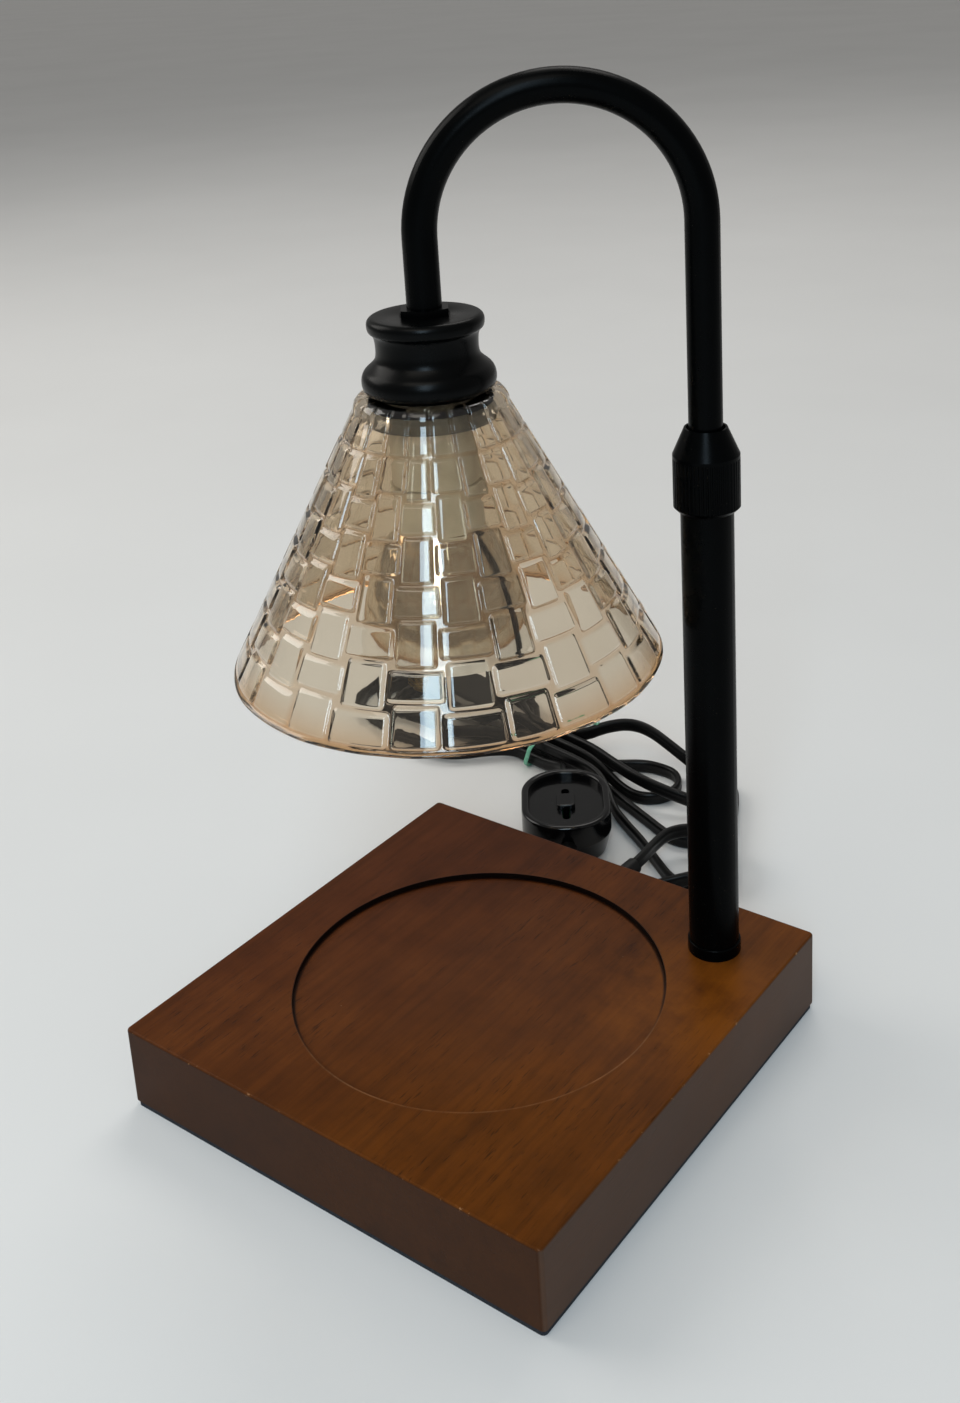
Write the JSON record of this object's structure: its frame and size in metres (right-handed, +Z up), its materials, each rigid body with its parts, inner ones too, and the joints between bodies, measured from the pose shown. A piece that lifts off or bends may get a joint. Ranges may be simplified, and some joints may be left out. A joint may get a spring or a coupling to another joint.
{
  "type": "candle warmer lamp",
  "caption": "Table lamp that warms a jar candle: conical amber glass shade on a black swan-neck arm, adjustable post with lock collar, square wooden base with a round recess.",
  "frame": {"origin": "centre of the base pad's underside, on the table", "axes": "+Z up, X and Y along the base's edges; the post stands at the +X +Y corner and the cord leaves the +Y face"},
  "size_m": [0.2718, 0.2802, 0.3009],
  "materials": {
    "wood": "satin",
    "foam": "matte",
    "black_paint": "satin",
    "steel": "satin",
    "brass": "satin",
    "nylon": "matte",
    "amber_glass": "gloss",
    "bulb_glass": "gloss",
    "mirror_coat": "gloss",
    "ceramic": "satin",
    "cord_sheath": "satin",
    "black_plastic": "gloss",
    "board": "satin",
    "tie": "matte"
  },
  "bodies": {
    "base": {"base_block": "wood", "base_pad": "foam", "post_stud": "steel", "stud_washer": "steel", "stud_nut": "steel", "post_foot_plug": "steel", "post_foot_ring": "black_paint", "post_tube": "black_paint", "post_collet": "nylon", "post_lead": "cord_sheath", "cord_gland": "black_plastic", "cord_lead": "cord_sheath", "cord_hank": "cord_sheath", "cord_tie": "tie", "dimmer_lower_shell": "black_plastic", "dimmer_upper_shell": "black_plastic", "dimmer_board": "board", "dimmer_screws": "steel", "dimmer_reliefs": "cord_sheath", "plug_body": "black_plastic", "plug_blades": "brass"},
    "collar": {"lock_collar": "black_paint"},
    "glide": {"arm_glide": "nylon"},
    "arm": {"arm_tube": "black_paint", "arm_lead": "cord_sheath", "arm_end_stop": "steel", "arm_clip": "steel", "shade_cap": "black_paint", "cap_nut": "black_paint", "cap_inner_nut": "steel", "socket_bracket": "steel", "socket_screws": "steel", "lamp_socket": "ceramic", "socket_contacts": "brass", "glass_shade": "amber_glass", "shade_ring": "black_plastic"},
    "bulb": {"bulb_base": "ceramic", "bulb_pins": "steel", "bulb_reflector": "mirror_coat", "bulb_lens": "bulb_glass", "bulb_capsule": "bulb_glass"},
    "slider": {"dimmer_slider": "black_plastic"}
  },
  "joints": [
    {"name": "collar_turn", "type": "hinge", "parent": "base", "child": "collar", "pos_m": [0.053, 0.053, 0.186], "axis": [0, 0, 1], "range_deg": [0, 120]},
    {"name": "arm_height", "type": "slide", "parent": "base", "child": "glide", "axis": [0, 0, 1], "range_m": [-0.05, 0.034]},
    {"name": "arm_swing", "type": "hinge", "parent": "glide", "child": "arm", "pos_m": [0.053, 0.053, 0.128], "axis": [0, 0, 1], "range_deg": [-170, 170]},
    {"name": "bulb_twist", "type": "hinge", "parent": "arm", "child": "bulb", "pos_m": [-0.00625, 0.00398, 0.188], "axis": [0, 0, 1], "range_deg": [0, 25]},
    {"name": "dimmer_slide", "type": "slide", "parent": "base", "child": "slider", "axis": [0.5821, -0.8131, 0], "range_m": [-0.008, 0.008]}
  ]
}
